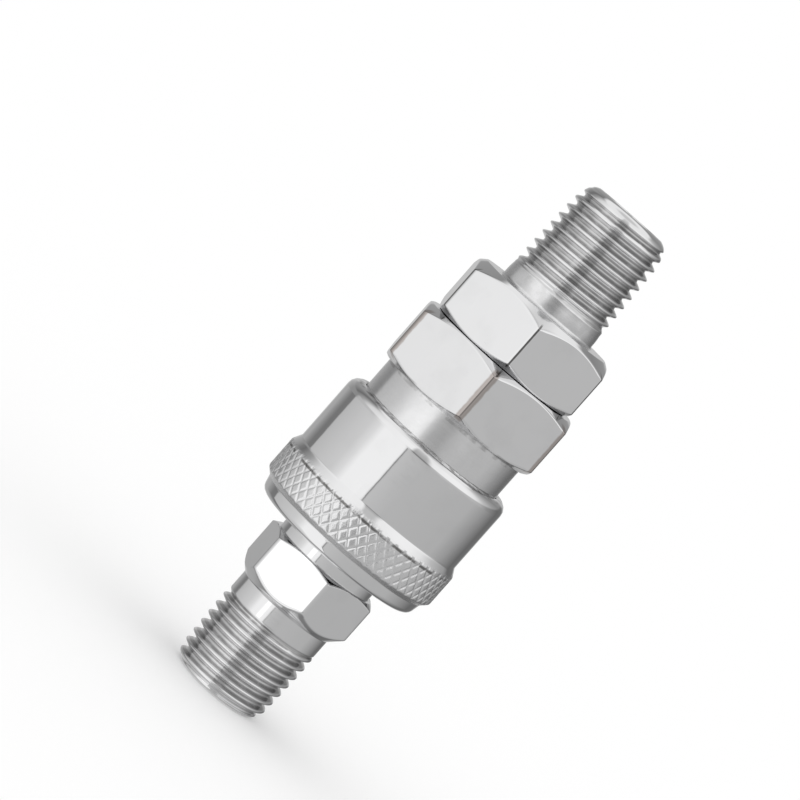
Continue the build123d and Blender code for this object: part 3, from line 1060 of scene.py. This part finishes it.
def make_plug():
    rise = COLLAR_R - GROOVE_R
    head_rise = HEAD_R - GROOVE_R
    outline = rows([(PLUG_BORE_R + FINE_EDGE, 0), (PLUG_TURNS["lead_r"] - FINE_EDGE, 0)])
    outline += thread_rows(0, PLUG_THREAD, **PLUG_TURNS)
    outline += rows([(PLUG_NECK_R, PLUG_THREAD + 4 * JOIN), (PLUG_NECK_R, PLUG_HEX_LOW - 2 * JOIN)])
    shoulder_r = COLLAR_R + PLUG_SHOULDER
    outline += hex_rows(
        low=PLUG_HEX_LOW,
        high=PLUG_HEX_HIGH,
        across=PLUG_HEX_ACROSS,
        turn=PLUG_HEX_TURN,
        low_start=PLUG_NECK_R,
        low_angle=PLUG_HEX_FOOT_ANGLE,
        high_start=shoulder_r,
        high_angle=HEX_CHAMFER,
    )
    outline += edged_rows(
        [
            (shoulder_r - 4 * JOIN, PLUG_HEX_HIGH),
            (COLLAR_R, PLUG_HEX_HIGH),
            (COLLAR_R, COLLAR_SPLIT),
        ],
        PLUG_SHOULDER / 2,
    )
    outline += edged_rows(
        [
            (COLLAR_R, COLLAR_SPLIT + OUTLINE_GAP),
            (COLLAR_R, BALL_PLANE - GROOVE_HALF - rise),
            (GROOVE_R, BALL_PLANE - GROOVE_HALF),
            (GROOVE_R, BALL_PLANE + GROOVE_HALF),
            (HEAD_R, BALL_PLANE + GROOVE_HALF + head_rise),
            (HEAD_R, TIP_TOP - TIP_TAPER),
            (TIP_R, TIP_TOP),
            (PLUG_BORE_R, TIP_TOP),
            (PLUG_BORE_R, 0),
            (PLUG_BORE_R + FINE_EDGE, 0),
        ]
    )[:-1]
    return turned_piece("plug_threaded", outline, hex_angles(PLUG_HEX_TURN, PLUG_HEX_ACROSS))


def make_adaptor():
    start = ADAPTOR_HEX_ACROSS / 2 - HEX_INSET
    outline = edged_rows(
        [
            (STUB_INNER_R, ADAPTOR_OUTLINE_START),
            (STUB_INNER_R, STUB_LOW),
            (STUB_R - STUB_CHAMFER, STUB_LOW),
            (STUB_R, STUB_LOW + STUB_CHAMFER),
            (STUB_R, SEAM),
            (start - 5 * JOIN, SEAM),
        ]
    )
    outline += hex_rows(
        low=SEAM,
        high=ADAPTOR_HEX_HIGH,
        across=ADAPTOR_HEX_ACROSS,
        turn=ADAPTOR_HEX_TURN,
        low_start=start,
        low_angle=HEX_CHAMFER,
        high_start=ADAPTOR_HEX_TOP_R,
        high_angle=ADAPTOR_HEX_TOP_ANGLE,
    )
    outline += edged_rows(
        [
            (ADAPTOR_HEX_TOP_R - 5 * JOIN, ADAPTOR_HEX_HIGH),
            (ADAPTOR_NECK_R, ADAPTOR_HEX_HIGH),
            (ADAPTOR_NECK_R, ADAPTOR_RELIEF_LOW),
            (ADAPTOR_RELIEF_R, ADAPTOR_THREAD_LOW - 2 * JOIN),
        ],
        ADAPTOR_NECK_ROUNDING,
    )
    outline += thread_rows(TOP, ADAPTOR_THREAD_LOW, **ADAPTOR_TURNS)[::-1]
    outline += edged_rows(
        [
            (ADAPTOR_TURNS["lead_r"] - FINE_EDGE, TOP),
            (ADAPTOR_BORE_R, TOP),
            (ADAPTOR_BORE_R, SPRING_STEP),
            (SPRING_POCKET_R, SPRING_STEP),
            (SPRING_POCKET_R, LEDGE),
            (STUB_INNER_R, LEDGE),
            (STUB_INNER_R, ADAPTOR_OUTLINE_START + OUTLINE_GAP),
        ]
    )
    return turned_piece("adaptor_threaded", outline, hex_angles(ADAPTOR_HEX_TURN, ADAPTOR_HEX_ACROSS))


def ball_hole_cutter(number):
    """Tapered hole for one ball, as a cutting form that reaches through the body's front."""
    profile = [
        (CUTTER_START - CUTTER_TIP, CUTTER_TIP_R),
        (CUTTER_START, BALL_HOLE_LIP_R),
        (HEAD_BORE_R, BALL_HOLE_LIP_R),
        (BALL_HOLE_SEAT, BALL_HOLE_R),
        (FRONT_R + CUTTER_PAST, BALL_HOLE_R),
        (FRONT_R + CUTTER_PAST + CUTTER_TIP, CUTTER_TIP_R),
    ]
    way = 2 * math.pi / BALL_COUNT * number
    out = np.array([math.cos(way), math.sin(way), 0])
    side = np.array([-math.sin(way), math.cos(way), 0])
    up = np.array([0, 0, 1])
    around = even_angles(HOLE_SIDES)[:, None]
    points = [
        out * reach + radius * (np.cos(around) * side + np.sin(around) * up) + BALL_PLANE * up
        for reach, radius in profile
    ]
    return mesh_piece("ball_hole", np.concatenate(points), grid_faces(len(profile), HOLE_SIDES, True))


def make_body():
    start = BODY_HEX_ACROSS / 2 - HEX_INSET
    outline = edged_rows(
        [
            (MOUTH_R, BODY_OUTLINE_START),
            (MOUTH_R, MOUTH + MOUTH_CHAMFER),
            (MOUTH_R + MOUTH_CHAMFER, MOUTH),
            (FRONT_R - 2 * MOUTH_EDGE, MOUTH),
            (FRONT_R, MOUTH + MOUTH_EDGE),
            (FRONT_R, STOP_PLANE - STOP_GROOVE_HALF),
            (STOP_GROOVE_R, STOP_PLANE - STOP_GROOVE_HALF),
            (STOP_GROOVE_R, STOP_PLANE + STOP_GROOVE_HALF),
            (FRONT_R, STOP_PLANE + STOP_GROOVE_HALF),
            (FRONT_R, STEP),
            (TUBE_R, STEP),
            (TUBE_R, BODY_HEX_LOW),
            (start - 5 * JOIN, BODY_HEX_LOW),
        ]
    )
    outline += hex_rows(
        low=BODY_HEX_LOW,
        high=SEAM,
        across=BODY_HEX_ACROSS,
        turn=BODY_HEX_TURN,
        low_start=start,
        low_angle=HEX_CHAMFER,
        high_start=start,
        high_angle=HEX_CHAMFER,
    )
    outline += edged_rows(
        [
            (start - 5 * JOIN, SEAM),
            (RING_POCKET_R, SEAM),
            (RING_POCKET_R, RING_POCKET_LOW),
            (STUB_BORE_R, RING_POCKET_LOW),
            (STUB_BORE_R, CHAMBER_TOP),
            (CHAMBER_R, CHAMBER_TOP),
            (CHAMBER_R, SEAT + CHAMBER_R - HEAD_BORE_R),
            (HEAD_BORE_R, SEAT),
            (HEAD_BORE_R, PACKING_PLANE + PACKING_GROOVE_HALF),
            (PACKING_GROOVE_R, PACKING_PLANE + PACKING_GROOVE_HALF),
            (PACKING_GROOVE_R, PACKING_PLANE - PACKING_GROOVE_HALF),
            (HEAD_BORE_R, PACKING_PLANE - PACKING_GROOVE_HALF),
            (HEAD_BORE_R, MOUTH_CONE + MOUTH_R - HEAD_BORE_R),
            (MOUTH_R, MOUTH_CONE),
            (MOUTH_R, BODY_OUTLINE_START + OUTLINE_GAP),
        ]
    )
    body = turned_piece("body_hexagon", outline, hex_angles(BODY_HEX_TURN, BODY_HEX_ACROSS))
    cutters = [ball_hole_cutter(number) for number in range(BALL_COUNT)]
    for cutter in cutters:
        cut = body.modifiers.new("ball_hole", "BOOLEAN")
        cut.operation = "DIFFERENCE"
        cut.solver = "EXACT"
        cut.object = cutter
    whole = body.data
    drilled = body.evaluated_get(bpy.context.evaluated_depsgraph_get())
    body.data = bpy.data.meshes.new_from_object(drilled)
    body.modifiers.clear()
    bpy.data.meshes.remove(whole)
    for cutter in cutters:
        bpy.data.objects.remove(cutter)
    body.data.set_sharp_from_angle(angle=math.radians(BODY_SHARP_ANGLE))
    return body


def make_sleeve():
    lip_face_r = SLEEVE_LIP_R - LIP_ROUNDING
    outline = edged_rows(
        [
            (STOP_POCKET_R, SLEEVE_OUTLINE_START),
            (STOP_POCKET_R, SLEEVE_LOW),
            (lip_face_r - 10 * JOIN, SLEEVE_LOW),
        ]
    )
    outline += edged_rows(
        [
            (lip_face_r - 6 * JOIN, SLEEVE_LOW),
            (SLEEVE_LIP_R, SLEEVE_LOW),
            (LIP_TOP_R - JOIN, LIP_TOP - 3 * JOIN),
        ],
        LIP_ROUNDING,
        ROUNDING_SHARE,
    )
    outline += knurl_rows()
    outline += rows([(SLEEVE_R, KNURL_SHOULDER_TOP + 3 * JOIN)])
    outline += edged_rows(
        [
            (SLEEVE_R, KNURL_SHOULDER_TOP + 12 * JOIN),
            (SLEEVE_R, SLEEVE_HIGH),
            (SLEEVE_BORE_R + SLEEVE_TOP_FACE, SLEEVE_HIGH),
        ],
        SLEEVE_ROUNDING,
        ROUNDING_SHARE,
    )
    outline += edged_rows(
        [
            (SLEEVE_BORE_R + SLEEVE_TOP_FACE - 2 * JOIN, SLEEVE_HIGH),
            (SLEEVE_BORE_R + SLEEVE_BORE_EDGE, SLEEVE_HIGH),
            (SLEEVE_BORE_R, SLEEVE_HIGH - SLEEVE_BORE_EDGE),
            (SLEEVE_BORE_R, SLEEVE_BORE_SPLIT),
        ]
    )
    outline += rows(
        [
            (SLEEVE_BORE_R, LAND_HIGH),
            (LAND_R, LAND_HIGH),
            (LAND_R, LAND_LOW),
            (RECESS_R, LAND_LOW - RECESS_R + LAND_R),
            (RECESS_R, RECESS_LOW),
            (LAND_R, RECESS_LOW),
            (LAND_R, STOP_LIP),
            (STOP_POCKET_R, STOP_LIP),
        ]
    )
    sleeve = turned_piece("sleeve_knurled", outline, even_angles(SLEEVE_TURN_STEPS))
    sleeve.data.set_sharp_from_angle(angle=math.radians(SLEEVE_SHARP_ANGLE))
    return sleeve


place_camera()
studio()

plug_chrome = chrome_material(
    "plug_chrome",
    [
        Zone(low=9.6, high=12.4, rough=0.05, marks=0.7),
        Zone(low=19.0, high=21.6, rough=0.02, marks=0.5),
    ],
    # Painted shade in the thread's roots and on its upper flanks
    thread=Thread(low=0.8, high=10.0, phase=PLUG_TURNS["phase"], dirt=0.2),
)
adaptor_chrome = chrome_material(
    "adaptor_chrome",
    # Painted shade in patches on the neck
    [Zone(low=57.3, high=59.4, rough=0.14, marks=2.4, dirt=0.1)],
    # Painted shade in the thread's roots and on its upper flanks
    thread=Thread(low=59.6, high=70.6, phase=ADAPTOR_TURNS["phase"], dirt=0.32),
    # A painted dark line along the hexagon's corners, in place of a dark reflection
    corners=Corners(low=50.3, high=56.0, turn=ADAPTOR_HEX_TURN, width=0.8, colour=PAINTED_SHADE_COLOUR),
)
body_chrome = chrome_material(
    "body_chrome",
    [
        # Faint painted shade in patches on the front and the tube, and a band of painted shade on the
        # tube's top under the hexagon
        Zone(low=20, high=41.2, rough=0.12, marks=1.0, dirt=0.03),
        Zone(low=41.35, high=42.0, rough=0.12, marks=1.0, dirt=0.35),
    ],
    corners=Corners(low=42.4, high=48.9, turn=BODY_HEX_TURN, width=2.9, colour=TARNISH_COLOUR),
)
sleeve_chrome = chrome_material(
    "sleeve_chrome",
    [
        Zone(low=28.6, high=36.8, marks=0.2),
        # Painted shade along the knurl's top under its shoulder and along the sleeve's top edge beside
        # the tube
        Zone(low=26.95, high=27.1, rough=0.05, dirt=0.9),
        Zone(low=37.5, high=37.8, rough=0.05, dirt=0.8),
    ],
    grip=Grip(low=22.8, high=27.4),
)
spring_steel = metal_material("spring_steel", SPRING_COLOUR, rough=0.22, marks=0.6, smudges=0.5)
ball_steel = metal_material("ball_steel", BALL_COLOUR, rough=0.05, marks=0.0, smudges=0.5)
brass = metal_material("valve_brass", BRASS_COLOUR, rough=0.16, marks=1.0, smudges=1.0)
rubber = rubber_material()

fit(make_plug(), "plug", "plug", plug_chrome)
fit(make_adaptor(), "socket", "adaptor", adaptor_chrome)
fit(make_body(), "socket", "socket_body", body_chrome)
fit(make_sleeve(), "sleeve", "sleeve", sleeve_chrome)

sleeve_coil = wire_piece(
    "sleeve_coil",
    centre_r=SLEEVE_COIL_R,
    wire_r=SLEEVE_WIRE_R,
    low=LAND_HIGH + SLEEVE_WIRE_R + SPRING_FIT,
    rise=STEP - LAND_HIGH - 2 * (SLEEVE_WIRE_R + SPRING_FIT),
    degrees=FULL_TURN * SLEEVE_COIL_TURNS,
    steps=SLEEVE_COIL_STEPS,
)
fit(sleeve_coil, "sleeve_spring", "sleeve_spring", spring_steel)
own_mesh(sleeve_coil)

valve_coil = wire_piece(
    "valve_coil",
    centre_r=VALVE_COIL_R,
    wire_r=VALVE_WIRE_R,
    low=VALVE_COIL_LOW + VALVE_WIRE_R + SPRING_FIT,
    rise=SPRING_STEP - VALVE_COIL_LOW - 2 * (VALVE_WIRE_R + SPRING_FIT),
    degrees=FULL_TURN * VALVE_COIL_TURNS,
    steps=VALVE_COIL_STEPS,
)
fit(valve_coil, "socket", "valve_spring", spring_steel)
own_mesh(valve_coil)

snap_ring = wire_piece(
    "snap_ring",
    centre_r=STOP_RING_R,
    wire_r=STOP_WIRE_R,
    low=STOP_PLANE,
    rise=0,
    degrees=STOP_RING_ARC,
    steps=STOP_RING_STEPS,
)
adaptor_seal = wire_piece(
    "adaptor_seal",
    centre_r=ADAPTOR_RING_R,
    wire_r=ADAPTOR_RING_WIRE_R,
    low=ADAPTOR_RING_PLANE,
    rise=0,
    degrees=FULL_TURN,
    steps=ADAPTOR_RING_STEPS,
)
valve_seal = wire_piece(
    "valve_seal",
    centre_r=VALVE_RING_R,
    wire_r=VALVE_RING_WIRE_R,
    low=VALVE_RING_PLANE,
    rise=0,
    degrees=FULL_TURN,
    steps=VALVE_RING_STEPS,
)
fit(snap_ring, "socket", "stop_ring", spring_steel)
fit(adaptor_seal, "socket", "adaptor_o_ring", rubber)
fit(valve_seal, "valve", "valve_packing", rubber)

shown_nodes = {"plug_packing": rubber, "valve": brass}
shown_nodes.update({f"ball_{number}": ball_steel for number in range(1, BALL_COUNT + 1)})
for name, material in shown_nodes.items():
    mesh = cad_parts[name].data
    mesh.materials.clear()
    mesh.materials.append(material)
